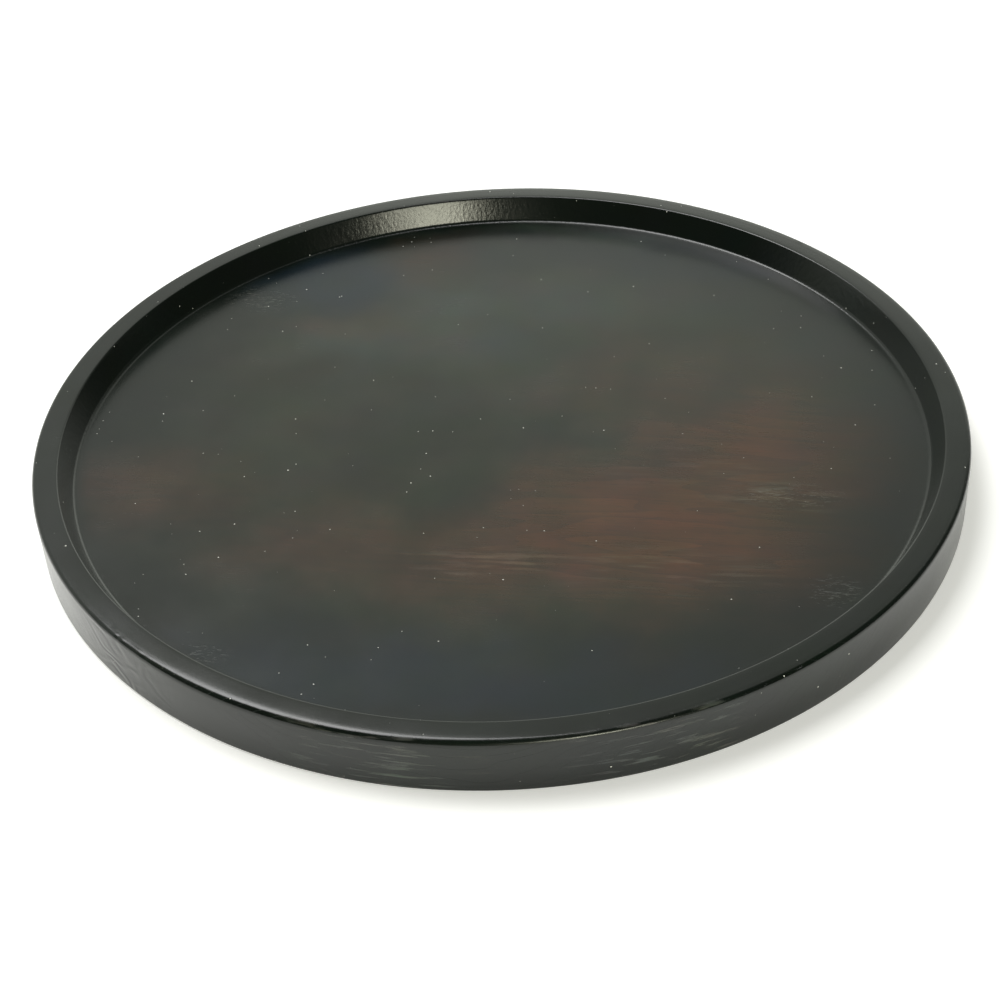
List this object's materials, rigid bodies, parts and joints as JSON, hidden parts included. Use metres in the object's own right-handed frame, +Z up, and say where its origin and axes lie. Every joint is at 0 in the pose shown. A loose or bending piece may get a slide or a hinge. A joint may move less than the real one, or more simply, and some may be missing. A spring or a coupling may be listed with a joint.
{
  "type": "serving tray",
  "caption": "Round lacquered wooden serving tray with a flat floor, a low raised rim and a sloping inner wall, turned from an edge-jointed board panel.",
  "frame": {"origin": "centre of the flat resting face, on the table's surface", "axes": "+Z up along the tray's turning axis, +X along the grain of the boards, -Y towards board 1 at the front"},
  "size_m": [0.4, 0.4, 0.025],
  "materials": {
    "lacquered_wood": "satin dark lacquer, worn thin to red-brown",
    "bare_wood": "planed, glued in"
  },
  "bodies": {
    "root": {"board_1": "lacquered_wood", "board_2": "lacquered_wood", "board_3": "lacquered_wood", "board_4": "lacquered_wood", "board_5": "lacquered_wood", "board_6": "lacquered_wood", "board_7": "lacquered_wood", "board_8": "lacquered_wood", "tongue_1_2": "bare_wood", "tongue_2_3": "bare_wood", "tongue_3_4": "bare_wood", "tongue_4_5": "bare_wood", "tongue_5_6": "bare_wood", "tongue_6_7": "bare_wood", "tongue_7_8": "bare_wood"}
  },
  "joints": []
}
